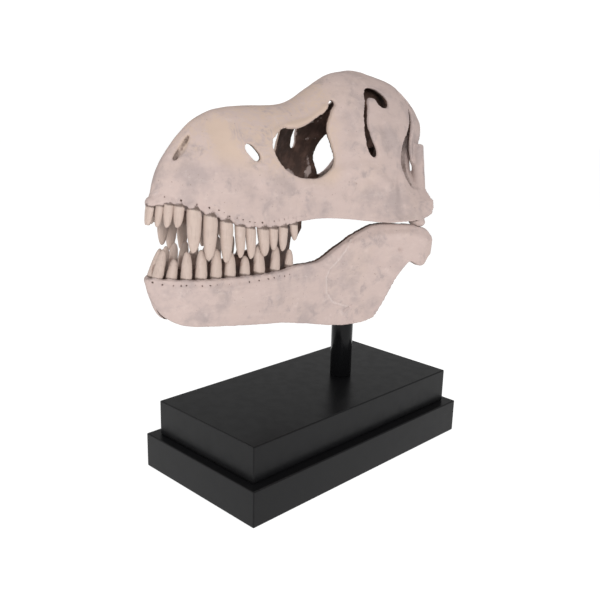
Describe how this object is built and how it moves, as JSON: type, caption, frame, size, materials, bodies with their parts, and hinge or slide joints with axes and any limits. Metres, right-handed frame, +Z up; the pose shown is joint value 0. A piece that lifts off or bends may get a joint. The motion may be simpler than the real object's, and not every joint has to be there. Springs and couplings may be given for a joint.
{
  "type": "tyrannosaur skull display replica",
  "caption": "Cast replica of a long-snouted meat-eating dinosaur's skull, jaws open, on a black rod over a two-tier base.",
  "frame": {"origin": "middle of the base's underside, where it rests", "axes": "+Z up, snout along -Y, the skull's left side along +X"},
  "size_m": [0.2615, 0.4963, 0.5466],
  "materials": {
    "cast_bone": "matt painted cast resin",
    "black_lacquer": "black paint, satin on the boards and gloss on the rod"
  },
  "bodies": {
    "root": {"skull_snout": "cast_bone", "skull_brow": "cast_bone", "skull_braincase": "cast_bone", "skull_cheek_left": "cast_bone", "skull_cheek_right": "cast_bone", "jaw_front_left": "cast_bone", "jaw_front_right": "cast_bone", "jaw_rear_left": "cast_bone", "jaw_rear_right": "cast_bone", "stand_bracket": "black_lacquer", "stand_rod": "black_lacquer", "stand_upper_tier": "black_lacquer", "stand_lower_tier": "black_lacquer"}
  },
  "joints": []
}
